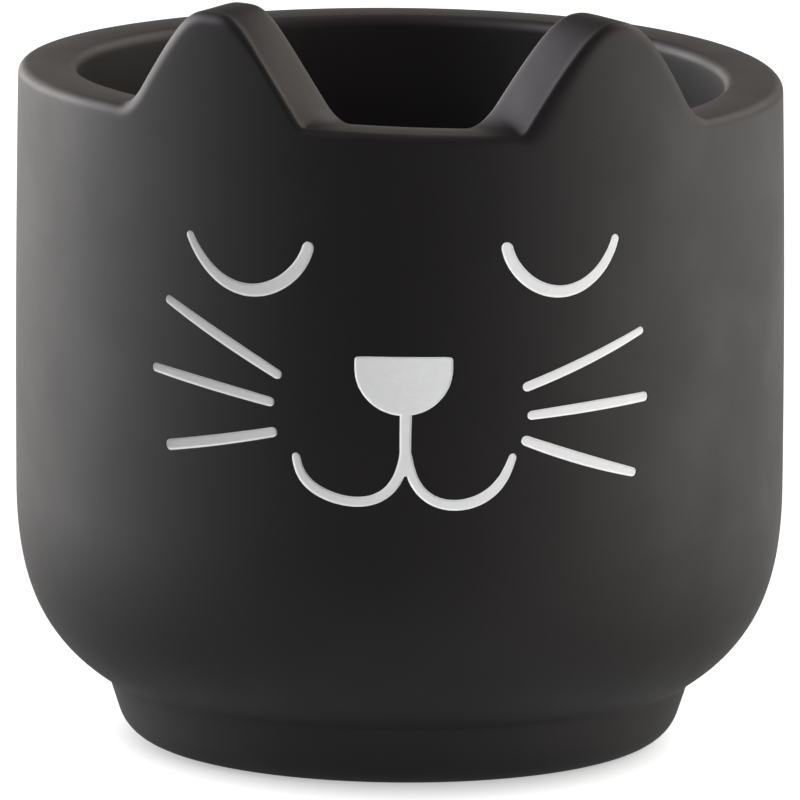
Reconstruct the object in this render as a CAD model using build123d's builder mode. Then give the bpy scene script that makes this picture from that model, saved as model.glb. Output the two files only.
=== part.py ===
from build123d import *
from math import cos, degrees, hypot, radians, sin, sqrt
import os

# A cat shaped planter in cast ceramic: a thick round pot on a narrower foot, with two ears that grow out
# of the rim, a sleeping face painted into shallow grooves, and a rubber bung in the drain hole.
# Millimetres. +Z is up, the origin is the centre of the foot on the ground, and the face looks along -Y.
# Angles are in degrees round the pot from the front, positive towards +X, the viewer's right.

# Pot
body_diameter = 130.0
rim_height = 115.0
wall = 10.0
floor_thickness = 11.0
corner_level = 37.6          # height at which the outside turns in towards the foot
bore_corner = 22.0           # radius inside, between floor and wall
rim_outer_edge = 1.8
rim_inner_edge = 1.4

# Foot
foot_height = 10.6
foot_base_diameter = 95.4
foot_flare = 2.05            # how far the foot's top stands out past its base
foot_edge = 5.0
foot_ring_width = 9.7        # of the ring that the pot stands on, outside its recess
foot_recess = 3.0
foot_recess_bevel = 1.2

# Drain hole, and the bung that closes it from the inside
drain_diameter = 14.0
drain_bevel = 0.8
bung_clearance = 0.06
bung_end_gap = 1.0           # the shank stops this far above the lower mouth of the hole
bung_flange_diameter = 24.0
bung_flange_thickness = 2.6
bung_neck_diameter = 5.0
bung_neck_height = 2.4
bung_knob_diameter = 9.0
bung_knob_height = 4.0
bung_edge = 0.7              # rounds the flange and the knob on top, and bevels the shank's end

# Ears, each shaped along its own direction through the wall
ear_angle = 31.8
ear_width = 34.4             # across the base, at the rim
ear_point = 20.5             # above the rim, where the two sides would meet without the round tip
ear_side_bulge = 1.2         # how far each side bows out from a straight line
ear_tip_radius = 5.0
ear_root_fillet = 4.0

# Face: grooves pressed into the wall, with paint laid on their floors
groove_depth = 0.8
paint_thickness = 0.5
face_turn = -1.0             # the face sits a little to one side of the ears' middle

eye_reach = 27.2             # round the wall, from the middle of the face to the middle of each eye
eye_tip_depth = 18.7         # below the rim
eye_width = 20.8             # between the middles of the two tips
eye_drop = 8.9
eye_stroke = 2.3
eye_tip_stroke = 1.1

nose_top_depth = 38.0        # below the rim
nose_width = 16.6
nose_length = 10.0
nose_corner = 0.8

mouth_stroke = 1.9
mouth_tip_stroke = 1.1
stem_width = 2.0
mouth_reach = 18.3           # from the middle of the stem to the middle of a tip
mouth_low_reach = 8.4        # from the middle of the stem to the lowest point of each side
# How far below the nose's flat top the tips, the lowest points, the fork between the two sides, and the
# place where the stem starts to turn into them lie
mouth_tip_drop = 16.8
mouth_low_drop = 24.8
mouth_fork_drop = 20.6
mouth_turn_drop = 18.0

whisker_length = 23.5
whisker_root = 1.6           # stroke at the end beside the nose
whisker_tip = 1.9
whisker_reach = 32.5         # round the wall, from the middle of the face to the middle of a whisker
whisker_spacing = 8.8        # between the middles of neighbouring whiskers
# The place of each whisker's middle, across and up from the middle of the nose's flat top, as shares of
# whisker_reach and of whisker_spacing, its length as a share of whisker_length, and its tilt in degrees,
# positive where the end on the viewer's right rises.
whisker_shares = {
    "left_whisker_upper": (-0.991, 0.215, 1.01, -27.3),
    "left_whisker_middle": (-1.054, -0.74, 0.98, -9.5),
    "left_whisker_lower": (-0.995, -1.785, 0.89, 12.2),
    "right_whisker_upper": (0.974, -0.151, 1.01, 20.3),
    "right_whisker_middle": (1.009, -1.079, 0.97, 3.9),
    "right_whisker_lower": (0.953, -2.02, 0.94, -19.2),
}

# One overrun for every cut, and how near to a place a sampled point must lie to count as on it
overrun = 2.0
touch = 0.01

body_radius = body_diameter / 2
bore_radius = body_radius - wall
foot_radius = foot_base_diameter / 2
foot_recess_radius = foot_radius - foot_ring_width
floor_top = foot_recess + floor_thickness
drain_radius = drain_diameter / 2
eye_tip_height = rim_height - eye_tip_depth
nose_top_height = rim_height - nose_top_depth


def facing(angle, height):
    """Upright plane through the pot's axis that looks out at this angle, with its origin at this height."""
    turn = radians(angle)
    return Plane(origin=(0, 0, height), x_dir=(cos(turn), sin(turn), 0), z_dir=(sin(turn), -cos(turn), 0))


def on_cylinder(edge, radius):
    """Whether an edge lies on the upright cylinder of this radius round the pot's axis."""
    return all(abs(hypot(point.X, point.Y) - radius) < touch for point in (edge @ 0, edge @ 0.5, edge @ 1))


def ear_outline():
    """Two bowed sides that meet in a round tip, each running down into the flat rim; its origin is the rim."""
    half, reach = ear_width / 2, ear_width / 2 + ear_root_fillet
    with BuildSketch() as outline:
        with BuildLine():
            Polyline((-half, 0), (-reach, 0), (-reach, -wall), (reach, -wall), (reach, 0), (half, 0))
            SagittaArc((half, 0), (0, ear_point), -ear_side_bulge)
            SagittaArc((0, ear_point), (-half, 0), -ear_side_bulge)
        make_face()
        fillet(outline.vertices().sort_by(Axis.Y)[-1], ear_tip_radius)
        roots = outline.vertices().filter_by_position(Axis.Y, -touch, touch).sort_by(Axis.X)[1:3]
        fillet(roots, ear_root_fillet)
    return outline.sketch


# Both ears, as blocks of the wall that stand in it and rise above the rim
with BuildPart() as ears:
    for side in (-1, 1):
        with BuildSketch(facing(side * ear_angle, rim_height)):
            add(ear_outline())
        extrude(amount=body_radius + overrun)
    with BuildSketch(Plane.XY.offset(rim_height - wall)):
        Circle(body_radius)
        Circle(bore_radius, mode=Mode.SUBTRACT)
    extrude(amount=wall + ear_point, mode=Mode.INTERSECT)


def eye_outline():
    """A sagging arc, thick in the middle, with narrow round tips; its origin is midway between the tips."""
    half, middle, tip = eye_width / 2, eye_stroke / 2, eye_tip_stroke / 2
    with BuildSketch() as outline:
        with BuildLine():
            ThreePointArc((-half - tip, 0), (0, -eye_drop - middle), (half + tip, 0))
            ThreePointArc((half + tip, 0), (half, tip), (half - tip, 0))
            ThreePointArc((half - tip, 0), (0, middle - eye_drop), (tip - half, 0))
            ThreePointArc((tip - half, 0), (-half, tip), (-half - tip, 0))
        make_face()
    return outline.sketch


def nose_outline():
    """A half disc with short straight sides; its origin is the middle of its flat top."""
    half = nose_width / 2
    with BuildSketch() as outline:
        with BuildLine():
            Polyline((-half, half - nose_length), (-half, 0), (half, 0), (half, half - nose_length))
            ThreePointArc((half, half - nose_length), (0, -nose_length), (-half, half - nose_length))
        make_face()
        fillet(outline.vertices().group_by(Axis.Y)[-1], nose_corner)
    return outline.sketch


def mouth_outline():
    """A stem and two hanging sides in one stroke; its origin is level with the nose's flat top."""
    half, tip, stem = mouth_stroke / 2, mouth_tip_stroke / 2, stem_width / 2
    fork, turn, low, end = -mouth_fork_drop, -mouth_turn_drop, -mouth_low_drop, -mouth_tip_drop
    stem_top = -nose_length / 2
    with BuildSketch() as outline:
        with BuildLine():
            Polyline((0, fork), (0, stem_top), (stem, stem_top), (stem, turn))
            TangentArc((mouth_low_reach, low + half), (stem, turn), tangent=(-1, 0))
            TangentArc((mouth_low_reach, low + half), (mouth_reach - tip, end), tangent=(1, 0))
            ThreePointArc((mouth_reach - tip, end), (mouth_reach, end + tip), (mouth_reach + tip, end))
            TangentArc((mouth_low_reach, low - half), (mouth_reach + tip, end), tangent=(1, 0))
            TangentArc((mouth_low_reach, low - half), (0, fork), tangent=(-1, 0))
        make_face()
        mirror(about=Plane.YZ)
    return outline.sketch


def whisker_outline(across_share, length, tilt):
    """A straight stroke with round ends, a little wider at its outer end; its origin is its middle."""
    root, tip = whisker_root / 2, whisker_tip / 2
    reach = (length - root - tip) / 2
    # The two sides touch both round ends, so they lean out by the angle whose sine is lean
    lean = (tip - root) / (2 * reach)
    rise = sqrt(1 - lean**2)
    with BuildSketch(Plane.XY.rotated((0, 0, tilt if across_share > 0 else tilt + 180))) as outline:
        with BuildLine():
            over = Line((-reach - root * lean, root * rise), (reach - tip * lean, tip * rise))
            under = Line((reach - tip * lean, -tip * rise), (-reach - root * lean, -root * rise))
            ThreePointArc(over @ 1, (reach + tip, 0), under @ 0)
            ThreePointArc(under @ 1, (-reach - root, 0), over @ 0)
        make_face()
    return outline.sketch


def stroke(outline, reach, height, inner, outer):
    """The block between two radii whose front is this outline, placed by its reach round the wall and up."""
    with BuildPart() as block:
        with BuildSketch(facing(face_turn + degrees(reach / body_radius), height)):
            add(outline)
        extrude(amount=outer + overrun)
        with BuildSketch(Plane.XY):
            Circle(outer)
            Circle(inner, mode=Mode.SUBTRACT)
        extrude(amount=rim_height, mode=Mode.INTERSECT)
    return block.part


# Every stroke of the face: its outline, its reach round the wall, and the height of its origin
strokes = {
    "left_eye": (eye_outline(), -eye_reach, eye_tip_height),
    "right_eye": (eye_outline(), eye_reach, eye_tip_height),
    "nose": (nose_outline(), 0, nose_top_height),
    "mouth": (mouth_outline(), 0, nose_top_height),
}
for name, (across_share, up_share, length_share, tilt) in whisker_shares.items():
    outline = whisker_outline(across_share, length_share * whisker_length, tilt)
    height = nose_top_height + up_share * whisker_spacing
    strokes[name] = (outline, across_share * whisker_reach, height)

groove_floor = body_radius - groove_depth
paint_face = groove_floor + paint_thickness
grooves = [stroke(*drawn, groove_floor, body_radius + overrun) for drawn in strokes.values()]
paint = {name: stroke(*drawn, groove_floor, paint_face) for name, drawn in strokes.items()}
paint["mouth"] = paint["mouth"] - paint["nose"]

with BuildPart() as pot_body:
    # Half section from the recess under the foot, round the outside and the rim, to the floor inside
    with BuildSketch(Plane.XZ) as section:
        with BuildLine():
            under = Polyline(
                (0, foot_recess),
                (foot_recess_radius, foot_recess),
                (foot_recess_radius, 0),
                (foot_radius, 0),
                (foot_radius + foot_flare, foot_height),
            )
            corner = TangentArc((body_radius, corner_level), under @ 1, tangent=(0, -1))
            top = Polyline((body_radius, corner_level), (body_radius, rim_height), (bore_radius, rim_height),
                           (bore_radius, floor_top + bore_corner))
            inside = TangentArc(top @ 1, (bore_radius - bore_corner, floor_top), tangent=(0, -1))
            Polyline(inside @ 1, (0, floor_top), (0, foot_recess))
        make_face()
        # The flat ring that it stands on is round outside and bevelled inside
        fillet(section.vertices().sort_by_distance((foot_radius, 0))[0], foot_edge)
        chamfer(section.vertices().sort_by_distance((foot_recess_radius, 0))[0], foot_recess_bevel)
    revolve(axis=Axis.Z)
    with Locations((0, 0, floor_top)):
        Hole(drain_radius)
    mouths = pot_body.edges().filter_by(GeomType.CIRCLE).filter_by(lambda edge: on_cylinder(edge, drain_radius))
    chamfer(mouths, drain_bevel)
    add(ears.part)
    # The rim's two edges run on over the ears without a break, so each is one loop
    for radius, rounding in ((body_radius, rim_outer_edge), (bore_radius, rim_inner_edge)):
        crest = pot_body.edges().filter_by(lambda edge: edge.bounding_box().max.Z > rim_height - touch)
        fillet(crest.filter_by(lambda edge: on_cylinder(edge, radius)), rounding)
    for groove in grooves:
        add(groove, mode=Mode.SUBTRACT)

# Bung: a shank in the drain hole, a flange on the floor, and a knob to lift it by
shank_radius = drain_radius - bung_clearance
shank_end = foot_recess + bung_end_gap
flange_top = floor_top + bung_flange_thickness
knob_base = flange_top + bung_neck_height
knob_top = knob_base + bung_knob_height
with BuildPart() as drain_plug:
    with BuildSketch(Plane.XZ) as half:
        with BuildLine():
            Polyline(
                (0, shank_end),
                (shank_radius, shank_end),
                (shank_radius, floor_top),
                (bung_flange_diameter / 2, floor_top),
                (bung_flange_diameter / 2, flange_top),
                (bung_neck_diameter / 2, flange_top),
                (bung_neck_diameter / 2, knob_base),
                (bung_knob_diameter / 2, knob_base),
                (bung_knob_diameter / 2, knob_top),
                (0, knob_top),
                close=True,
            )
        make_face()
        chamfer(half.vertices().sort_by_distance((shank_radius, shank_end))[0], bung_edge)
        for top_corner in ((bung_flange_diameter / 2, flange_top), (bung_knob_diameter / 2, knob_top)):
            fillet(half.vertices().sort_by_distance(top_corner)[0], bung_edge)
    revolve(axis=Axis.Z)

os.makedirs("parts", exist_ok=True)
pot_body.part.label = "pot_body"
export_step(pot_body.part, "parts/pot_body.step")
drain_plug.part.label = "drain_plug"
export_step(drain_plug.part, "parts/drain_plug.step")
for name, fill in paint.items():
    fill.label = name
    export_step(fill, f"parts/{name}.step")
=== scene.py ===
from math import cos, radians, sin
import bpy
import numpy as np
from mathutils import Matrix, Vector


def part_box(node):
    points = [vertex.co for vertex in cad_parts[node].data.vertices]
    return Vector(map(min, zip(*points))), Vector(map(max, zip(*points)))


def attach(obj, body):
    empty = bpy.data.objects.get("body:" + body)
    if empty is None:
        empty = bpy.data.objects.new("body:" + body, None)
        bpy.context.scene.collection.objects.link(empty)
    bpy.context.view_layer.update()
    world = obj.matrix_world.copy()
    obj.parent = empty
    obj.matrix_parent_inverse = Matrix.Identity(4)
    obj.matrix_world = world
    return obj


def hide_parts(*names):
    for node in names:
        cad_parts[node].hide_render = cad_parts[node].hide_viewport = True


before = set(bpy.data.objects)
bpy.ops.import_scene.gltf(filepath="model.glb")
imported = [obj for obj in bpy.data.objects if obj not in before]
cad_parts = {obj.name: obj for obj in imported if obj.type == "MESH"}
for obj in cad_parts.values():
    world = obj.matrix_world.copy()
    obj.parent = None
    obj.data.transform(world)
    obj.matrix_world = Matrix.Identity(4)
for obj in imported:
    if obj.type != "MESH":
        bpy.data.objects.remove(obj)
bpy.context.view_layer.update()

# A cat shaped planter in matte charcoal ceramic, with a sleeping face painted in silvery white.
# The script works in the frame's own axes: +Z is up, the face looks along -Y, and the viewer's right is +X.
# Lengths are in millimetres until a mesh is made, and angles in degrees, measured round the pot from the front.
MM = 0.001

# Pot
body_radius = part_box("pot_body")[1].x / MM
rim_height = 115.0
wall = 10.0
bore_radius = body_radius - wall
rim_crown = 0.2              # how far the rim's flat top swells in the middle of the wall
inner_edge = 2.0             # radius of the rim's inner edge
corner_level = 43.8          # where the outside turns in towards the foot
corner_pull = (16.1, 13.7)   # how far that curve follows the wall, and the slope that it ends on
corner_slope = 30.7          # of the curve's end at the foot, from level
floor_top = 14.0
bore_corner = 22.0
drain_radius = 7.0
drain_lip = 0.9              # radius of the drain hole's edges
level_of_strokes = 106.0     # the wall is plain from here down to the corner

# Foot
foot_height = 10.6
foot_base_radius = 46.1
foot_flare = 3.5
foot_edge = 7.1
crease_radius = 1.0
recess_radius = 38.0
recess_height = 3.0
recess_edge = 1.2            # radius of the recess's lower edge
recess_corner = 0.6          # and of its inside corner
recess_plain = 1.5           # from the recess's wall to where the lines of the mesh start to move inwards

# Ears: the direction that each faces, the slope of its sides and the power that fills out its shoulders; on
# the face and on the bore its crest above the rim, how blunt its tip is, the fillets at its left and right
# roots and how far it is moved aside; and how far its front edge is rounded across the face and into the
# depth of the wall (left side, tip, right side)
ears = (
    dict(angle=-31.7, slope=1.60, power=3.2, face=(17.9, 5.9, 3.8, 1.0, 0.0), bore=(18.8, 5.0, 4.0, 3.2, 2.2),
         edge=(2.5, 2.3, 0.9), depth=(2.5, 2.3, 0.9)),
    dict(angle=33.1, slope=1.82, power=2.2, face=(18.4, 9.6, 1.3, 4.5, 0.0), bore=(19.1, 8.7, 4.4, 3.9, -2.6),
         edge=(3.6, 1.8, 2.0), depth=(1.2, 1.4, 2.0)),
)
ear_reach = 22.5             # from an ear's middle to where its roots have run out into the rim
edge_spread = 1.6            # its edge reaches its sides' rounding at this many times its bluntness
edge_root = 15.0             # and from here on it turns into the rim's own rounding
front_edge = 1.6             # roundness of the rim's outer edge between the ears, and round the back
back_edge = 1.9
ear_lines = 112              # upright lines of the mesh on each ear, between the ears and round the back
front_lines, back_lines = 46, 120
line_turning = 3.0           # how strongly an ear's lines gather where its outline turns

# Unevenness of the cast pot: the rim leans and is warped a little, and the wall bulges and waves
rim_tilt = 0.98
rim_warp = 0.51
bulge = 0.42
waviness = 0.03
lean = -0.27
warp_level = 70.0            # the tilt and the warp grow from here up to the rim
bulge_level, bulge_reach = 65.0, 50.0
above_foot = (2.0, 12.0)     # bulge and waves start this far above the foot and grow over this height
off_drain = (3.0, 20.0)      # and start this far outside the drain hole and grow over this width
# The waves as (how many round the pot, share of the waviness, start, twist with each millimetre of height)
waves = ((2, 1.0, 0.9, 0.0), (3, 0.5, 0.0, 1 / 23), (5, 0.35, 0.0, -1 / 31))

# Face, laid out on the wall: across is measured round it from the middle, up from the ground
groove_depth = 0.8
lip = 0.12                   # how far a groove's mouth is rounded
paint_depth = 0.24           # of the paint's face below the wall, in the middle of a stroke
paint_lip = 0.06             # the same where the paint meets the groove's mouth
paint_climb = 0.36           # how wide the stretch is on which the paint climbs to the lip
paint_gap = 0.02
stroke_round = 0.55          # length of a stroke's round end, as a share of its width
groove_floor = body_radius - groove_depth
above_wall = body_radius + 1.0
# A groove's wall as (distance added to the stroke's edge, distance from the axis), from near its floor up
groove_wall = ((0.0, groove_floor + 0.3), (0.0, body_radius - lip), (lip * 0.3, body_radius - lip * 0.3),
               (lip, body_radius + 0.02), (lip, above_wall))


# Shapes

def soft_max(a, b, reach):
    """The larger of two heights, with a parabola of the given reach rounding the corner where they cross."""
    share = np.clip(0.5 + 0.5 * (a - b) / reach, 0, 1)
    return b + (a - b) * share + reach * share * (1 - share)


def grid_faces(rows, columns, wrap_rows=False):
    """Four-sided faces between neighbouring points of a grid whose columns close into a loop."""
    row = np.arange(rows if wrap_rows else rows - 1)[:, None]
    column = np.arange(columns)[None, :]
    below, beside = (row + 1) % rows, (column + 1) % columns
    corners = (row * columns + column, row * columns + beside, below * columns + beside, below * columns + column)
    return np.stack(np.broadcast_arrays(*corners), -1).reshape(-1, 4)


def signed_volume(points, faces):
    """Six times the volume inside the faces: the sum of each fan triangle's corner products."""
    first = points[faces[:, 0]]
    total = 0.0
    for k in range(1, faces.shape[1] - 1):
        total += np.einsum("ij,ij->i", first, np.cross(points[faces[:, k]], points[faces[:, k + 1]])).sum()
    return total


def closed_skin(points, groups):
    """A closed skin's points and groups of faces, with all the faces turned outwards."""
    if signed_volume(points, groups[0]) < 0:
        groups = [group[:, ::-1] for group in groups]
    return points, groups


def sleeve(rings):
    """The closed skin through rings of points (ring, point round it, xyz), flat across the first and the last."""
    count, around, _ = rings.shape
    first = np.arange(around)[None, :]
    ends = [first[:, ::-1], first + (count - 1) * around]
    return closed_skin(rings.reshape(-1, 3), [grid_faces(count, around), *ends])


def mesh_of(name, *skins):
    """One smooth mesh in metres from closed skins in millimetres."""
    faces, start = [], 0
    for points, groups in skins:
        for group in groups:
            faces += (group + start).tolist()
        start += len(points)
    mesh = bpy.data.meshes.new(name)
    mesh.from_pydata((np.concatenate([points for points, _ in skins]) * MM).tolist(), [], faces)
    mesh.validate()
    mesh.shade_smooth()
    return mesh


def object_of(mesh):
    """An object at the origin that carries the mesh, under the mesh's name."""
    piece = bpy.data.objects.new(mesh.name, mesh)
    bpy.context.scene.collection.objects.link(piece)
    return piece


def read(items, field, width=1, kind=float):
    """One field of all the points, corners or faces of a mesh, as an array with a row for each of them."""
    values = np.empty(len(items) * width, kind)
    items.foreach_get(field, values)
    return values.reshape(-1, width) if width > 1 else values


def ease(share):
    """A smooth step from 0 to 1."""
    share = np.clip(share, 0, 1)
    return share * share * (3 - 2 * share)


def arc(centre, radius, start, stop, count):
    """Points of an outline on a circle's arc between two directions, in degrees up from straight outwards."""
    angle = np.radians(np.linspace(start, stop, count))
    return np.stack((centre[0] + radius * np.cos(angle), centre[1] + radius * np.sin(angle)), -1)


def on_wall(across, up, radius):
    """A point at a distance round the body's wall, a height and a distance from the axis, waves and all."""
    radius, up, turn = np.broadcast_arrays(radius, up, np.asarray(across) / body_radius)
    return uneven(radius, up, turn)


def through(points, t):
    """The smooth curve through a few points: one polynomial in the share of the way along them."""
    points = np.asarray(points, float)
    steps = np.hypot(*np.diff(points[:, :2], axis=0).T)
    knots = np.r_[0, np.cumsum(steps)] / steps.sum()
    return np.stack([np.polyval(np.polyfit(knots, column, len(knots) - 1), t) for column in points.T], -1)


# Pot

def ear_height(ear, u, skin):
    """Height above the rim: round at the tip, straight on the sides and filleted into the rim.

    The crest less the slope times the power mean of the way aside and the bluntness, less the bluntness.
    """
    crest, blunt, left_root, right_root, shift = ear[skin]
    power = ear["power"]
    side = crest - ear["slope"] * ((np.abs(u - shift)**power + blunt**power)**(1 / power) - blunt)
    return soft_max(side, 0 * u, np.where(u < 0, left_root, right_root))


def ear_stations(ear):
    """Places across an ear, spaced by the length of its outline and closer where it turns."""
    fine = np.linspace(-ear_reach, ear_reach, 4001)
    height = (ear_height(ear, fine, "face") + ear_height(ear, fine, "bore")) / 2
    slope = np.gradient(height, fine)
    turning = np.abs(np.gradient(np.arctan(slope), fine))
    passed = np.cumsum(np.sqrt(1 + slope**2) + line_turning * turning)
    return np.interp(np.linspace(passed[0], passed[-1], ear_lines), passed, fine)


def stations():
    """Everything that changes round the rim, one value for each upright line of the pot's mesh.

    A line on an ear lies in the upright plane at a distance u from the ear's middle. Between the ears and
    round the back a line is mixed from the two ear planes beside it, by the share t of the way across.
    """
    lines = {key: [] for key in ("a1", "u1", "a2", "u2", "t", "face", "bore", "edge", "depth")}
    left, right = ears

    def add(**values):
        size = max(np.size(value) for value in values.values())
        for key, value in values.items():
            lines[key].append(np.broadcast_to(np.asarray(value, float), (size,)))

    for ear, other, turn, count, edge in ((left, right, 0, front_lines, front_edge),
                                          (right, left, 360, back_lines, back_edge)):
        u = ear_stations(ear)
        side = np.clip(u / (ear["face"][1] * edge_spread), -1, 1)
        far_left, far_right = (back_edge, front_edge) if ear is left else (front_edge, back_edge)
        root = ease((np.abs(u) - edge_root) / (ear_reach - edge_root))
        rounding = {}
        for key in ("edge", "depth"):
            at_left, at_tip, at_right = ear[key]
            here = at_tip + (np.where(u < 0, at_left, at_right) - at_tip) * side**2
            rounding[key] = here + (np.where(u < 0, far_left, far_right) - here) * root
        add(a1=ear["angle"], u1=u, a2=ear["angle"], u2=u, t=0, **rounding,
            face=ear_height(ear, u, "face"), bore=ear_height(ear, u, "bore"))
        t = np.linspace(0, 1, count + 2)[1:-1]
        add(a1=ear["angle"], u1=ear_reach, a2=other["angle"] + turn, u2=-ear_reach, t=t, edge=edge, depth=edge,
            face=0, bore=0)
    return {key: np.concatenate(parts) for key, parts in lines.items()}


def slope_of(line, height):
    """Direction of the rim's top across the ear, as the upward normal (across, up) of its outline."""
    slope = np.zeros_like(height)
    on_ear = line["t"] == 0
    for ear in ears:
        mine = on_ear & (line["a1"] == ear["angle"])
        slope[mine] = np.gradient(height[mine], line["u1"][mine])
    size = np.sqrt(1 + slope**2)
    return -slope / size, 1 / size


def pot_points():
    """The pot's skin as rows: down the outside, under the foot, through the drain hole and up the inside.

    A row is one step of the wall's outline, a distance from the axis and a height. It is turned round the
    axis to each line's bearing, and raised on the ears by ear_height, of the face outside and of the bore
    inside. Where the wall is crossed, the two are mixed by the share of the way across it.
    """
    line = stations()
    across_out, up_out = slope_of(line, line["face"])
    across_in, up_in = slope_of(line, line["bore"])
    rows = []

    def bearing(radius, shift=0.0):
        reach = np.maximum(radius, bore_radius)
        one = np.radians(line["a1"]) + np.arcsin((line["u1"] + shift) / reach)
        two = np.radians(line["a2"]) + np.arcsin((line["u2"] + shift) / reach)
        return one + (two - one) * line["t"]

    def add(radius, height, turn):
        rows.append(np.stack(np.broadcast_arrays(radius, height, turn), -1))

    # Across the top of the wall
    start, stop = bore_radius + inner_edge, body_radius - line["depth"]
    for w in np.linspace(0, 1, 11):
        radius = start + (stop - start) * w
        height = rim_height + line["bore"] + (line["face"] - line["bore"]) * w + rim_crown * 4 * w * (1 - w)
        add(radius, height, bearing(radius))
    # Round the outer edge: a quarter ellipse set into the wall, square to the rim's own slope
    for theta in np.radians(np.linspace(90, 0, 10)[1:]):
        sunk = line["edge"] * (1 - sin(theta))
        radius = body_radius - line["depth"] * (1 - cos(theta))
        add(radius, rim_height + line["face"] - sunk * up_out, bearing(radius, -sunk * across_out))
    # Down the outside, where the lines of the ears spread out to their own planes
    edge_height = rim_height + line["face"] - line["edge"] * up_out
    for v in np.linspace(0, 1, 11)[1:]:
        height = edge_height + (level_of_strokes - edge_height) * v
        add(body_radius, height, bearing(body_radius, -line["edge"] * across_out * (1 - v)))
    outer, inner = bearing(body_radius), bearing(bore_radius)
    for height in np.linspace(level_of_strokes, corner_level, 26)[1:]:
        add(body_radius, height, outer)
    for radius, height, share in foot_profile():
        add(radius, height, outer + (inner - outer) * share)
    # Up the inside
    for height in np.linspace(floor_top + bore_corner, level_of_strokes, 20)[1:]:
        add(bore_radius, height, inner)
    edge_height = rim_height + line["bore"] - inner_edge * up_in
    for v in np.linspace(0, 1, 9)[1:]:
        height = level_of_strokes + (edge_height - level_of_strokes) * v
        add(bore_radius, height, bearing(bore_radius, -inner_edge * across_in * v))
    for theta in np.radians(np.linspace(0, 90, 10)[1:-1]):
        sunk = inner_edge * (1 - sin(theta))
        radius = bore_radius + inner_edge * (1 - cos(theta))
        add(radius, rim_height + line["bore"] - sunk * up_in, bearing(radius, -sunk * across_in))
    radius, height, turn = np.moveaxis(np.array(rows), -1, 0)
    return uneven(radius, height, turn)


def foot_profile():
    """Outline from the body's lower corner to the inside corner, with how far its lines have moved inwards.

    The lower corner is a cubic curve that starts upright at corner_level and ends on corner_slope at the
    foot's top. The foot's wall leans by its flare and ends in a round edge, and its crease is soft. From there
    on the outline is of straight lines and arcs.
    """
    outline = []

    def add(points, share=0.0):
        outline.append(np.c_[points, np.broadcast_to(share, len(points))])

    ending = np.array((cos(radians(corner_slope)), sin(radians(corner_slope))))
    start, corner = np.array((body_radius, corner_level)), np.array((foot_base_radius + foot_flare, foot_height))
    pulls = start - (0, corner_pull[0]), corner + corner_pull[1] * ending
    t = np.linspace(0, 1, 27)[1:-1, None]
    add((1 - t)**3 * start + 3 * t * (1 - t)**2 * pulls[0] + 3 * t * t * (1 - t) * pulls[1] + t**3 * corner)
    # The crease: a short curve that cuts the corner between the body and the foot
    downwards = np.array((-foot_flare, -foot_height)) / np.hypot(foot_flare, foot_height)
    before, after = corner + ending * crease_radius, corner + downwards * crease_radius
    t = np.linspace(0, 1, 7)[:, None]
    add((1 - t)**2 * before + 2 * t * (1 - t) * corner + t**2 * after)
    # The foot's wall, its round edge and the recess under it
    height = np.linspace(foot_height - crease_radius - 0.6, foot_edge + 0.3, 4)
    add(np.c_[foot_base_radius + foot_flare * height / foot_height, height])
    lean_angle = np.arctan2(foot_flare, foot_height)
    centre = foot_base_radius + foot_edge * np.tan(lean_angle) - foot_edge / cos(lean_angle)
    add(arc((centre, foot_edge), foot_edge, -np.degrees(lean_angle), -90, 11))
    add(np.linspace((centre, 0), (recess_radius + recess_edge, 0), 4)[1:])
    add(arc((recess_radius + recess_edge, recess_edge), recess_edge, -90, -180, 6)[1:])
    add([(recess_radius, recess_height - recess_corner)])
    add(arc((recess_radius - recess_corner, recess_height - recess_corner), recess_corner, 0, 90, 5))
    # Across the recess, where the lines move inwards, through the drain hole and over the floor to its corner
    lip_radius, corner_radius = drain_radius + drain_lip, bore_radius - bore_corner
    share = np.linspace(0, 1, 7)[1:]
    add(np.linspace((recess_radius - recess_plain, recess_height), (lip_radius, recess_height), 7)[1:], share)
    add(arc((lip_radius, recess_height + drain_lip), drain_lip, -90, -180, 6)[1:], 1)
    add(np.linspace((drain_radius, recess_height + drain_lip), (drain_radius, floor_top - drain_lip), 6)[1:], 1)
    add(arc((lip_radius, floor_top - drain_lip), drain_lip, 180, 90, 6)[1:], 1)
    add(np.linspace((lip_radius, floor_top), (corner_radius, floor_top), 7)[1:], 1)
    add(arc((corner_radius, floor_top + bore_corner), bore_corner, -90, 0, 14)[1:], 1)
    return np.concatenate(outline)


def uneven(radius, height, turn):
    """The skin's points, with the slow waves of a casting on the body and a rim that isn't quite level."""
    near_rim = ease((height - warp_level) / (rim_height - warp_level))
    on_body = ease((height - foot_height - above_foot[0]) / above_foot[1])
    on_body = on_body * ease((radius - drain_radius - off_drain[0]) / off_drain[1])
    wave = sum(share * np.sin(times * turn + start + twist * height) for times, share, start, twist in waves)
    swell = bulge * np.clip(1 - ((height - bulge_level) / bulge_reach)**2, -1, 1)
    radius = radius + on_body * (waviness * wave + swell)
    across = radius * np.sin(turn)
    lowered = np.tan(radians(rim_tilt)) * across + rim_warp * np.sin(2 * turn)
    leaning = np.tan(radians(lean)) * np.clip(height - foot_height, 0, None)
    return np.stack((across + leaning, -radius * np.cos(turn), height - lowered * near_rim), -1)


# Face

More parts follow.
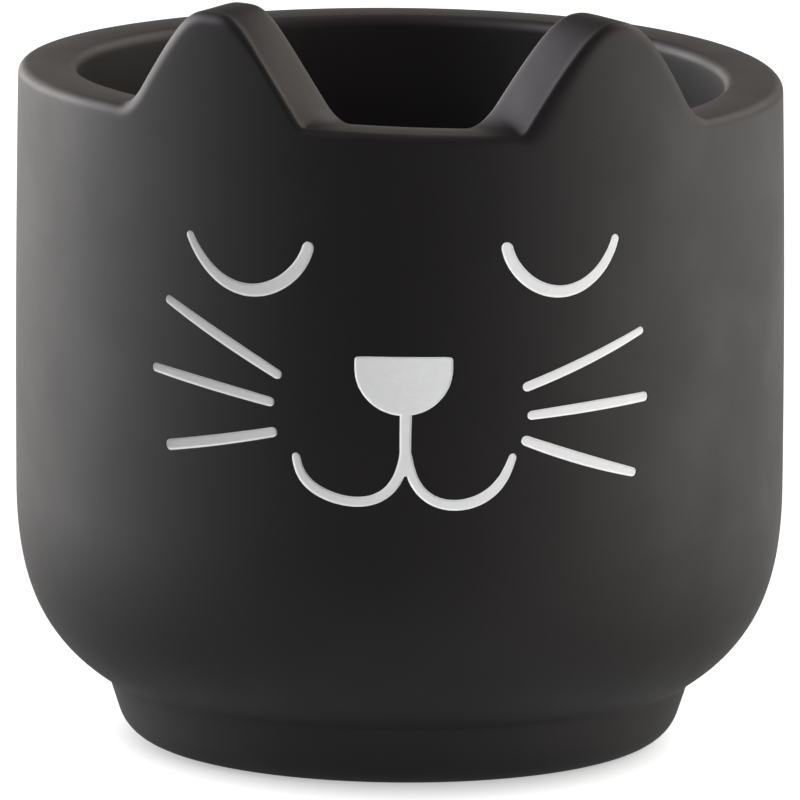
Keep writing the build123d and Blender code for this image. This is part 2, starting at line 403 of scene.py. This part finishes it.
# Each stroke's middle line as (across, up, width) at a few places, from one end to the other
strokes = {
    "left_eye": ((-39.2, 96.1, 1.4), (-35.8, 91.2, 1.7), (-28.2, 87.5, 2.1), (-20.9, 90.0, 2.25),
                 (-17.2, 96.3, 1.9)),
    "right_eye": ((16.1, 97.0, 2.0), (19.4, 90.7, 2.2), (26.3, 88.1, 2.1), (33.6, 92.0, 1.75),
                  (36.3, 97.4, 1.4)),
    "left_whisker_upper": ((-43.8, 84.7, 1.4), (-32.6, 79.1, 1.8), (-21.9, 73.4, 1.6)),
    "left_whisker_middle": ((-46.6, 72.9, 1.5), (-34.3, 71.0, 1.8), (-23.1, 68.9, 1.6)),
    "left_whisker_lower": ((-43.7, 59.8, 1.9), (-32.8, 61.9, 1.9), (-22.6, 64.1, 1.7)),
    "right_whisker_upper": ((42.0, 80.2, 1.3), (31.2, 76.0, 1.65), (19.0, 71.7, 1.6)),
    "right_whisker_middle": ((43.0, 68.5, 1.6), (30.9, 67.8, 1.8), (19.8, 67.0, 1.5)),
    "right_whisker_lower": ((40.6, 55.6, 1.5), (29.2, 59.2, 2.0), (18.8, 63.1, 1.7)),
}
# The mouth's stem, which starts under the nose, and its two hanging sides, which start inside the stem
stem = ((-0.8, 68.8, 2.1), (-0.9, 62.4, 1.95), (-0.9, 57.15, 2.0))
mouth_sides = (
    ((-1.0, 61.6, 1.6), (-1.8, 57.7, 1.75), (-4.6, 54.0, 1.7), (-11.0, 52.9, 1.75), (-16.9, 55.4, 1.75),
     (-19.4, 60.7, 1.4)),
    ((-0.8, 61.6, 1.6), (0.1, 57.6, 1.75), (2.8, 53.7, 1.75), (8.8, 52.3, 1.85), (14.9, 55.6, 1.75),
     (17.5, 60.7, 1.3)),
)
# The nose: a half ellipse under a flat top with small round corners
nose_middle, nose_level = -1.2, 75.5
nose_half, nose_rise, nose_drop = 8.25, 2.0, 8.0
nose_corners = 13.0          # the power that squares the top's corners
nose_heart = 1.5             # its loops draw in to a point this far below the flat top's level
nose_spread = (0.02, 0.3, 0.6, 0.85)    # shares of the nose's edge at which its plain floor and back have loops


def ribbon(points, count):
    """Middle line, unit normal and half width at places along a stroke, close together at its round ends."""
    t = (1 - np.cos(np.linspace(0, np.pi, count))) / 2
    way = through(points, t)
    middle, width = way[:, :2], way[:, 2]
    tangent = np.gradient(middle, axis=0)
    tangent /= np.hypot(*tangent.T)[:, None]
    normal = np.stack((-tangent[:, 1], tangent[:, 0]), -1)
    length = np.r_[0, np.cumsum(np.hypot(*np.diff(middle, axis=0).T))]
    to_end = np.minimum(length, length[-1] - length)
    round_end = np.sqrt(np.clip(1 - (1 - np.clip(to_end / (stroke_round * width), 0, 1))**2, 0.02, 1))
    return middle, normal, width / 2 * round_end, length


def groove_cutter(name, points):
    """A stroke's groove as a closed block: straight walls, a flat floor and a mouth that opens at the lip."""
    middle, normal, half, _ = ribbon(points, 90)
    # The block's section as (share of the half width, distance added to it, distance from the axis)
    section = [(share, 0.0, groove_floor) for share in np.linspace(-1, 1, 7)]
    section += [(1.0, out, radius) for out, radius in groove_wall]
    section += [(share, lip, above_wall) for share in np.linspace(1, -1, 7)[1:-1]]
    section += [(-1.0, out, radius) for out, radius in reversed(groove_wall)]
    rings = []
    for share, out, radius in section:
        side = half * share + out * np.sign(share)
        place = middle + normal * side[:, None]
        rings.append(on_wall(place[:, 0], place[:, 1], radius))
    return object_of(mesh_of(name, sleeve(np.stack(rings, 1))))


def nose_shape(up):
    """The power and the reach of the nose's edge: squarer and lower above its level, round and deep below it."""
    return np.where(up > 0, nose_corners, 2.0), np.where(up > 0, nose_rise, nose_drop)


def nose_outline(count):
    """The nose's edge, counted from its right end: powers of cosine and sine, squarer above than below."""
    angle = np.linspace(0, 2 * np.pi, 4001)
    power, reach = nose_shape(np.sin(angle))
    across = nose_half * np.sign(np.cos(angle)) * np.abs(np.cos(angle))**(2 / power)
    up = reach * np.sign(np.sin(angle)) * np.abs(np.sin(angle))**(2 / power)
    passed = np.r_[0, np.cumsum(np.hypot(np.diff(across), np.diff(up)))]
    shares = np.linspace(0, passed[-1], count + 1)[:-1]
    edge = np.stack((np.interp(shares, passed, across), np.interp(shares, passed, up)), -1)
    return edge + (nose_middle, nose_level)


def nose_loops(shares, outs):
    """Loops like the nose's edge, each drawn in to a share of it and moved out by a distance."""
    edge = nose_outline(160)
    along = np.roll(edge, -1, 0) - np.roll(edge, 1, 0)
    along /= np.hypot(*along.T)[:, None]
    outward = np.stack((along[:, 1], -along[:, 0]), -1)
    middle = np.array((nose_middle, nose_level - nose_heart))
    return [middle + (edge - middle) * share + outward * out for share, out in zip(shares, outs)]


def nose_cutter():
    """The nose's groove as a closed block, from the middle of its floor up its walls and over its top."""
    section = [(share, 0.0, groove_floor) for share in (*nose_spread, 1.0)]
    section += [(1.0, out, radius) for out, radius in groove_wall]
    section += [(share, 0.0, above_wall) for share in reversed(nose_spread)]
    shares, outs, radii = zip(*section)
    rings = [on_wall(place[:, 0], place[:, 1], radius) for place, radius in zip(nose_loops(shares, outs), radii)]
    return object_of(mesh_of("nose_groove", sleeve(np.stack(rings))))


def inside_stroke(places, points):
    """How far each place lies inside a stroke's edge, the stroke being a row of discs along its middle."""
    middle, _, half, _ = ribbon(points, 300)
    gap = np.hypot(places[:, None, 0] - middle[None, :, 0], places[:, None, 1] - middle[None, :, 1])
    return (half[None, :] - gap).max(1)


def inside_nose(places):
    """How far each place lies inside the nose's edge, and less than nothing outside it."""
    edge = nose_outline(400)
    gap = np.hypot(places[:, None, 0] - edge[None, :, 0], places[:, None, 1] - edge[None, :, 1]).min(1)
    side = places - (nose_middle, nose_level)
    power, reach = nose_shape(side[:, 1])
    within = np.abs(side[:, 0] / nose_half)**power + np.abs(side[:, 1] / reach)**power < 1
    return np.where(within, gap, -gap)


def paint_radius(inside):
    """Distance of the paint's face from the axis: level in the middle, climbing the groove's wall at its edge."""
    return body_radius - paint_lip - (paint_depth - paint_lip) * ease(inside / paint_climb)


def painted_stroke(points, inside, sunk=0.0):
    """Rings of the paint in a stroke: its face across the groove, and its back on the groove's floor.

    The face's places across the stroke are the sine of even steps, so they are closest at its edges. With the
    rings go each point's way along the stroke, its way across it and its distance inside the edge.
    """
    middle, normal, half, length = ribbon(points, 150)
    half = np.maximum(half - paint_gap, 0.02)
    face = [(share, True) for share in np.sin(np.linspace(-np.pi / 2, np.pi / 2, 19))]
    back = [(share, False) for share in np.linspace(1, -1, 5)]
    rings, spots = [], []
    for share, in_front in face + back:
        place = middle + normal * (half * share)[:, None]
        within = inside(place)
        radius = paint_radius(within) - sunk if in_front else groove_floor + paint_gap
        rings.append(on_wall(place[:, 0], place[:, 1], radius))
        spots.append(np.stack((length, half * share, within), -1))
    return np.stack(rings, 1), np.stack(spots, 1)


def painted_nose(inside):
    """Rings of the paint in the nose: loops like its edge, out across its face and in again on its back."""
    loops = np.r_[nose_spread[0], np.linspace(0.08, 0.86, 12), np.linspace(0.87, 1, 16)]
    front = nose_loops(loops, -paint_gap * (loops > 0.86))
    back = nose_loops((1, *nose_spread[2::-1]), (-paint_gap, 0, 0, 0))
    rings = [on_wall(place[:, 0], place[:, 1], paint_radius(inside(place))) for place in front]
    rings += [on_wall(place[:, 0], place[:, 1], groove_floor + paint_gap) for place in back]
    spots = [np.c_[place - (nose_middle, nose_level), inside(place)] for place in front + back]
    return np.stack(rings), np.stack(spots)


def paint_fill(name, *parts):
    """One fill of the face: closed skins, whose spots become the UV map and the attribute of its finish."""
    mesh = mesh_of(name, *[sleeve(rings) for rings, _ in parts])
    spots = np.concatenate([spots.reshape(-1, 3) for _, spots in parts])
    spots = spots[read(mesh.loops, "vertex_index", kind=int)].astype(np.float32)
    mesh.uv_layers.new(name="brush").data.foreach_set("uv", spots[:, :2].ravel())
    mesh.attributes.new("from_edge", "FLOAT", "CORNER").data.foreach_set("value", spots[:, 2].ravel())
    mesh.set_sharp_from_angle(angle=radians(50))
    return object_of(mesh)


def make_paint():
    """The ten fills of the face. Nose, stem and sides share one floor, so each knows how deep the others go."""
    def inside_face(places):
        depths = [inside_stroke(places, points) for points in (stem, *mouth_sides)]
        return np.max([inside_nose(places), *depths], axis=0)

    fills = {}
    for name, points in strokes.items():
        stroke = painted_stroke(points, lambda places, points=points: inside_stroke(places, points))
        fills[name] = paint_fill(name + "_paint", stroke)
    # The mouth's three lines cross, so each is sunk by a different amount
    lines = ((stem, 0.03), (mouth_sides[0], 0.0), (mouth_sides[1], 0.015))
    parts = [painted_stroke(points, inside_face, sunk) for points, sunk in lines]
    fills["mouth"] = paint_fill("mouth_paint", *parts)
    fills["nose"] = paint_fill("nose_paint", painted_nose(inside_face))
    return fills


def cut(piece, blocks):
    """Takes blocks out of a piece, one after another, and removes them."""
    for block in blocks:
        step = piece.modifiers.new(block.name, "BOOLEAN")
        step.operation = "DIFFERENCE"
        step.solver = "MANIFOLD"
        step.object = block
    graph = bpy.context.evaluated_depsgraph_get()
    whole = piece.data
    piece.data = bpy.data.meshes.new_from_object(piece.evaluated_get(graph))
    piece.modifiers.clear()
    piece.data.name = whole.name
    bpy.data.meshes.remove(whole)
    for block in blocks:
        shape = block.data
        bpy.data.objects.remove(block)
        bpy.data.meshes.remove(shape)


def make_pot():
    """The pot's skin, closed into a ring at its rows' ends, with the grooves of the face cut into it."""
    skin = pot_points()
    rows, columns, _ = skin.shape
    faces = grid_faces(rows, columns, wrap_rows=True)
    piece = object_of(mesh_of("pot", closed_skin(skin.reshape(-1, 3), [faces])))
    blocks = [groove_cutter(name + "_groove", points) for name, points in strokes.items()]
    blocks += [groove_cutter("mouth_groove", points) for points in (stem, *mouth_sides)]
    cut(piece, blocks + [nose_cutter()])
    piece.data.shade_smooth()
    piece.data.set_sharp_from_angle(angle=radians(35))
    smooth_wall(piece.data)
    return piece


def smooth_wall(mesh):
    """Gives the wall round the grooves the normals of its own curve, so that the cuts leave it unmarked.

    The normal is the cross product of the wall's two directions, round the pot and up, at each corner.
    """
    centres, facing = read(mesh.polygons, "center", 3) / MM, read(mesh.polygons, "normal", 3)
    outside = np.hypot(centres[:, 0], centres[:, 1]) > body_radius - 1.0
    at_height = (centres[:, 2] > corner_level) & (centres[:, 2] < level_of_strokes)
    along_wall = (wall_normal(centres) * facing).sum(1) > cos(radians(15))
    chosen = np.repeat(outside & at_height & along_wall, read(mesh.polygons, "loop_total", kind=int))
    points, corner_points = read(mesh.vertices, "co", 3), read(mesh.loops, "vertex_index", kind=int)
    normals = read(mesh.corner_normals, "vector", 3)
    normals[chosen] = wall_normal(points[corner_points[chosen]] / MM)
    mesh.normals_split_custom_set(normals.tolist())


def wall_normal(places):
    """Outward direction of the body's wall beside each place."""
    across = np.arctan2(places[:, 0], -places[:, 1]) * body_radius
    step = 0.05
    along = on_wall(across + step, places[:, 2], body_radius) - on_wall(across - step, places[:, 2], body_radius)
    up = on_wall(across, places[:, 2] + step, body_radius) - on_wall(across, places[:, 2] - step, body_radius)
    normal = np.cross(along, up)
    return normal / np.linalg.norm(normal, axis=1)[:, None]


# Bung: a rubber shank in the drain hole, a flange on the pot's floor and a waisted knob to lift it by
shank_gap = 0.12
shank_end = recess_height + 1.0
shank_taper = 0.25
flange_radius, flange_height = 12.0, 2.6
knob_radius, knob_height = 4.5, 4.0
neck_radius, neck_height = 2.5, 2.4
neck_sweep = 1.4             # how far the neck runs out to the flange and to the knob
knob_crown, knob_power = 1.6, 0.7       # height of the knob's dome, and the power that fills it out
rubber_edge = 0.7
flange_lift = 0.02           # the flange's clearance over the pot's floor
flange_groove = ((0.72, 0.0), (0.66, 0.35), (0.6, 0.0))    # as (share of the flange's radius, depth)


def bung_profile():
    """The bung's outline as (radius, height), from the middle of its foot up to the middle of its knob.

    The foot's, the flange's and the knob's edges are quarter circles, the neck is drawn in by a half wave of
    the sine, and the dome is a quarter ellipse whose radius is raised to a power.
    """
    shank = drain_radius - shank_gap
    under = floor_top + flange_lift
    flange_top = floor_top + flange_height
    knob_base = flange_top + neck_height
    knob_top = knob_base + knob_height
    waist, swell = np.linspace(0, np.pi, 15), np.linspace(0.1, np.pi / 2, 14)
    return np.concatenate((
        [(0.4, shank_end)],
        arc((shank - shank_taper - rubber_edge, shank_end + rubber_edge), rubber_edge, -90, 0, 8),
        [(shank, floor_top - 1.5), (shank, under), (flange_radius - 0.3, under)],
        arc((flange_radius - rubber_edge, flange_top - rubber_edge), rubber_edge, 0, 90, 8),
        [(flange_radius * share, flange_top - depth) for share, depth in flange_groove],
        np.stack((neck_radius + (1 - np.sin(waist)) * neck_sweep, flange_top + neck_height * waist / np.pi), -1),
        arc((knob_radius - rubber_edge, knob_base + rubber_edge), rubber_edge, -90, 0, 8),
        np.stack((knob_radius * np.cos(swell)**knob_power, knob_top - knob_crown * (1 - np.sin(swell))), -1)[:-1],
        [(0.3, knob_top)]))


def make_bung():
    """A revolve: each point of the outline goes once round the axis."""
    turn = np.linspace(0, 2 * np.pi, 97)[:-1]
    radius, height = bung_profile().T[:, :, None]
    rings = np.stack(np.broadcast_arrays(radius * np.cos(turn), radius * np.sin(turn), height), -1)
    mesh = mesh_of("bung", sleeve(rings))
    mesh.set_sharp_from_angle(angle=radians(40))
    return object_of(mesh)


# Camera: aimed at the middle of the pot from a long way off, a little from the left and rolled a little
camera_distance = 3500.0
camera_height_angle = 10.66
camera_turn = -1.7
camera_roll = 0.476
camera_target = (-0.17, 57.91)          # across and up, in the upright plane through the pot's axis
camera_lens = 924.5                     # on a sensor 36 millimetres wide


def seen_from(turn, rise):
    """The direction at a bearing from the front and a height angle, and the turn of a thing that looks back."""
    turn, rise = radians(turn), radians(rise)
    away = Vector((cos(rise) * sin(turn), -cos(rise) * cos(turn), sin(rise)))
    return away, away.to_track_quat("Z", "Y").to_matrix().to_4x4()


def make_camera():
    """The camera, a long lens far away, so that the pot's upright lines stay nearly parallel."""
    away, look = seen_from(camera_turn, camera_height_angle)
    data = bpy.data.cameras.new("camera")
    data.lens = camera_lens
    data.sensor_width = 36.0
    data.clip_end = 100.0
    camera = bpy.data.objects.new("camera", data)
    bpy.context.scene.collection.objects.link(camera)
    across, up = camera_target
    turn = radians(camera_turn)
    place = Vector((across * cos(turn), across * sin(turn), up)) + away * camera_distance
    camera.matrix_world = Matrix.Translation(place * MM) @ look @ Matrix.Rotation(radians(camera_roll), 4, "Z")
    bpy.context.scene.camera = camera


# Finishes

class Nodes:
    """The nodes of a material or of the world, added by kind and joined by their outputs."""

    def __init__(self, owner):
        owner.use_nodes = True
        self.owner, self.tree = owner, owner.node_tree
        self.tree.nodes.clear()

    def node(self, kind, output=0, settings=None, **inputs):
        """Adds a node and gives one of its outputs. An input is named, or numbered as in _0, and takes a value
        or another node's output."""
        node = self.tree.nodes.new("ShaderNode" + kind)
        for key, value in (settings or {}).items():
            setattr(node, key, value)
        for key, value in inputs.items():
            key = key.replace("_", " ") if not key.startswith("_") else int(key[1:])
            socket = node.inputs[key]
            if isinstance(value, bpy.types.NodeSocket):
                self.tree.links.new(value, socket)
            else:
                socket.default_value = value
        return node.outputs[output]

    def maths(self, operation, one, two=0.0, three=0.0):
        """The outcome of an operation on up to three values."""
        return self.node("Math", settings={"operation": operation}, _0=one, _1=two, _2=three)

    def times(self, one, two):
        """The product of two values."""
        return self.maths("MULTIPLY", one, two)

    def between(self, value, low, high, to_low=0.0, to_high=1.0):
        """A value's place between two limits, as the same place between two others, and held inside them."""
        return self.node("MapRange", Value=value, From_Min=low, From_Max=high, To_Min=to_low, To_Max=to_high)

    def noise(self, where, scale, detail=3.0, roughness=0.5, distortion=0.0):
        """A cloudy pattern of values around a half."""
        return self.node("TexNoise", Vector=where, Scale=scale, Detail=detail, Roughness=roughness,
                         Distortion=distortion)

    def colour(self, value, *shades):
        """A colour that runs between two shades, each given with the value at which it is reached."""
        ramp = self.node("ValToRGB", Fac=value)
        for element, (place, shade) in zip(ramp.node.color_ramp.elements, shades):
            element.position, element.color = place, (*shade, 1)
        return ramp

    def surface(self, tint, roughness, relief, strength, depth):
        """The finish's shader: a tint and a roughness, with a relief of the given depth in metres."""
        bump = self.node("Bump", Strength=strength, Distance=depth, Height=relief)
        shader = self.node("BsdfPrincipled", Base_Color=tint, Roughness=roughness, Normal=bump,
                           Specular_IOR_Level=0.5)
        return self.finish(shader)

    def finish(self, shader, output="OutputMaterial"):
        """Sends the shader to the output and gives back what the nodes belong to."""
        self.tree.links.new(shader, self.tree.nodes.new("ShaderNode" + output).inputs["Surface"])
        return self.owner


def matte_ceramic():
    """Near black cast ceramic: faint clouds, a fine dry grain, and soft rubbed patches that shine a little."""
    n = Nodes(bpy.data.materials.new("matte_charcoal_ceramic"))
    where = n.node("TexCoord", "Object")
    clouds = n.noise(where, 28.0, 4.0, 0.55, 0.4)
    grain = n.noise(where, 2600.0, 3.0, 0.6)
    rubbed = n.noise(where, 60.0, 3.0, 0.6)
    tint = n.colour(clouds, (0.3, (0.0051, 0.0043, 0.0044)), (0.7, (0.0063, 0.0054, 0.0055)))
    return n.surface(tint, n.between(rubbed, 0.3, 0.7, 0.54, 0.62), grain, 0.25, 0.00008)


def face_paint():
    """Silvery white paint, brushed along each stroke, and whiter where it meets the edges: a painted highlight
    for the lit walls of the grooves.
    """
    n = Nodes(bpy.data.materials.new("silver_white_paint"))
    where = n.node("UVMap", settings={"uv_map": "brush"})
    streaks = n.noise(n.node("Mapping", Vector=where, Scale=(0.25, 3.2, 1.0)), 1.6, 4.0, 0.6, 0.3)
    clouds = n.noise(where, 0.45, 3.0, 0.6)
    mixed = n.maths("ADD", n.times(streaks, 0.6), n.times(clouds, 0.4))
    level = n.colour(mixed, (0.3, (0.67, 0.675, 0.675)), (0.7, (0.76, 0.765, 0.765)))
    # The strokes' edges are whiter: a painted highlight for the groove walls that catch the light
    painted_edge_highlight = n.colour(mixed, (0.3, (0.82, 0.825, 0.825)), (0.7, (0.89, 0.895, 0.895)))
    edge_highlight_share = n.between(n.node("Attribute", 2, {"attribute_name": "from_edge"}), 0.08, 0.34, 1.0, 0.0)
    tint = n.node("Mix", 2, {"data_type": "RGBA"}, Factor=edge_highlight_share, _6=level, _7=painted_edge_highlight)
    return n.surface(tint, 0.42, streaks, 0.2, 0.00006)


def bung_rubber():
    """Black rubber: a fine tooth from the mould and a dusty bloom that lightens it in patches."""
    n = Nodes(bpy.data.materials.new("bung_rubber"))
    where = n.node("TexCoord", "Object")
    bloom = n.noise(where, 240.0, 4.0, 0.65)
    tooth = n.noise(where, 5200.0, 2.0, 0.5)
    tint = n.colour(bloom, (0.35, (0.022, 0.022, 0.023)), (0.7, (0.038, 0.038, 0.040)))
    return n.surface(tint, n.between(bloom, 0.3, 0.7, 0.62, 0.78), tooth, 0.2, 0.00005)


def give(piece, material):
    """Makes a material the piece's only one."""
    piece.data.materials.clear()
    piece.data.materials.append(material)


# Studio: soft boxes at a bearing from the front, a height angle and a distance in metres, with a width and
# height in metres, a radiance and a tint. The front box is seen in no reflection, and two side boxes are seen
# in reflections alone.
warm, neutral, cool = (1.0, 0.93, 0.86), (1.0, 0.98, 0.97), (0.985, 0.94, 1.0)
lights = {
    "left_low_box": dict(turn=-118, rise=6, away=1.3, size=(1.2, 0.9), radiance=6.9, tint=neutral),
    "left_high_box": dict(turn=-92, rise=38, away=1.3, size=(1.0, 0.8), radiance=7.0, tint=cool, diffuse=False),
    "right_low_box": dict(turn=86, rise=6, away=1.3, size=(0.9, 0.6), radiance=4.7, tint=warm, diffuse=False),
    "right_high_box": dict(turn=118, rise=38, away=1.3, size=(1.0, 0.8), radiance=3.7, tint=warm),
    "back_left_box": dict(turn=-150, rise=8, away=1.3, size=(0.8, 0.6), radiance=2.7, tint=warm),
    "front_box": dict(turn=28, rise=22, away=1.5, size=(1.2, 0.6), radiance=10.0, tint=(1, 1, 1),
                      glossy=False),
}
room_glow = (0.62, 0.57, 0.52)       # the room's back wall, as surfaces see it
floor_tint = 0.30
floor_glow = (0.45, 0.97)    # what is seen of the floor besides the lamps' light on it: close to the foot, open
contact_radius = foot_base_radius - foot_edge
shade_reach = (8.0, 16.5)    # how far the soft shade round the foot reaches: at its sides, in front
mirrored = 0.31              # the share of the floor's glow that the glaze mirrors
sweep = dict(left=0.67, right=1.65)     # what the glaze mirrors besides, of the floor's far sides
sweep_reach = (0.10, 0.32)   # the pale floor darkens towards the front between these distances, in metres
sweep_turn = (-0.25, 0.85)   # and between these directions, as cosines of the angle from straight ahead
sweep_dark = 0.93            # and by this share
shade_fade = (0.3, 1.3)      # in times its reach: where the shade round the foot starts to fade, and has gone


def make_light(name, turn, rise, away, size, radiance, tint, glossy=True, diffuse=True):
    """A soft box that faces the pot's foot."""
    direction, facing = seen_from(turn, rise)
    data = bpy.data.lights.new(name, "AREA")
    data.shape = "RECTANGLE"
    data.size, data.size_y = size
    data.energy = radiance * size[0] * size[1] * np.pi
    data.color = tint
    lamp = bpy.data.objects.new(name, data)
    lamp.visible_glossy = glossy
    lamp.visible_diffuse = diffuse
    lamp.matrix_world = Matrix.Translation(direction * away) @ facing
    bpy.context.scene.collection.objects.link(lamp)


def floor_finish():
    """A pale floor: plain under the pot and behind it, and darker where it runs out towards the front.

    What the camera sees of it glows white, but for a soft shade by the distance from the foot's contact
    circle. The glaze mirrors a share of that glow, and besides it a glow of the floor's far sides.
    """
    n = Nodes(bpy.data.materials.new("pale_floor"))
    where = n.node("TexCoord", "Object")
    along = n.node("SeparateXYZ", Vector=where).node.outputs
    away = n.node("VectorMath", "Value", {"operation": "LENGTH"}, _0=where)
    aside = n.maths("DIVIDE", along["X"], away)
    ahead = n.maths("DIVIDE", n.times(along["Y"], -1.0), away)
    path = n.node("LightPath").node.outputs
    # The matte floor, and how much of it is left towards the front
    beyond = n.between(away, *sweep_reach)
    kept = n.maths("SUBTRACT", 1.0, n.times(n.times(n.between(ahead, *sweep_turn), beyond), sweep_dark))
    grey = n.times(kept, floor_tint)
    matte = n.node("BsdfDiffuse", Color=n.node("CombineColor", Red=grey, Green=grey, Blue=grey))
    # Its glow, with the shade round the foot reaching further in front than at the sides
    forwards = n.maths("MAXIMUM", ahead, 0.0)
    beside, before = shade_reach
    reach = n.maths("MULTIPLY_ADD", n.times(forwards, forwards), (before - beside) * MM, beside * MM)
    from_foot = n.maths("DIVIDE", n.maths("SUBTRACT", away, contact_radius * MM), reach)
    glow = n.between(from_foot, *shade_fade, *floor_glow)
    mirror = n.times(path["Is Glossy Ray"], n.times(kept, mirrored))
    seen = n.maths("ADD", n.maths("ADD", path["Is Camera Ray"], mirror), path["Is Transmission Ray"])
    # The glow of its far sides, by the square of the direction's share to the left or the right
    sides = 0.0
    for side, sign in (("left", -1.0), ("right", 1.0)):
        towards = n.maths("MAXIMUM", n.times(aside, sign), 0.0)
        sides = n.maths("ADD", sides, n.times(n.times(towards, towards), sweep[side]))
    far = n.times(path["Is Glossy Ray"], n.times(beyond, sides))
    light = n.node("Emission", Strength=n.maths("ADD", n.times(seen, glow), far))
    return n.finish(n.node("AddShader", _0=matte, _1=light))


def make_floor():
    """A flat sheet of eight metres under the pot."""
    mesh = bpy.data.meshes.new("floor")
    mesh.from_pydata([(-4, -4, 0), (4, -4, 0), (4, 4, 0), (-4, 4, 0)], [], [(0, 1, 2, 3)])
    sheet = object_of(mesh)
    give(sheet, floor_finish())


def make_room():
    """White where the camera looks past the pot. Surfaces see a back wall, which fades to the sides and the top
    by the square of the direction's share towards the back."""
    world = bpy.data.worlds.new("studio")
    bpy.context.scene.world = world
    n = Nodes(world)
    direction = n.node("SeparateXYZ", "Y", _0=n.node("TexCoord", "Generated"))
    backwards = n.maths("MAXIMUM", direction, 0.0)
    wall_light = n.node("Background", Color=(*room_glow, 1), Strength=n.times(backwards, backwards))
    white = n.node("Background", Color=(1, 1, 1, 1))
    path = n.node("LightPath").node.outputs
    seen = n.maths("ADD", path["Is Camera Ray"], path["Is Transmission Ray"])
    n.finish(n.node("MixShader", _0=seen, _1=wall_light, _2=white), "OutputWorld")


pot = make_pot()
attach(pot, "pot")
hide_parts("pot_body")
give(pot, matte_ceramic())
paint_finish = face_paint()
for name, fill in make_paint().items():
    give(fill, paint_finish)
    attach(fill, "pot")
    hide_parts(name)
bung = make_bung()
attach(bung, "plug")
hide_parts("drain_plug")
give(bung, bung_rubber())
make_floor()
make_room()
for name, facts in lights.items():
    make_light(name, **facts)
make_camera()
bpy.context.scene.view_settings.view_transform = "Standard"
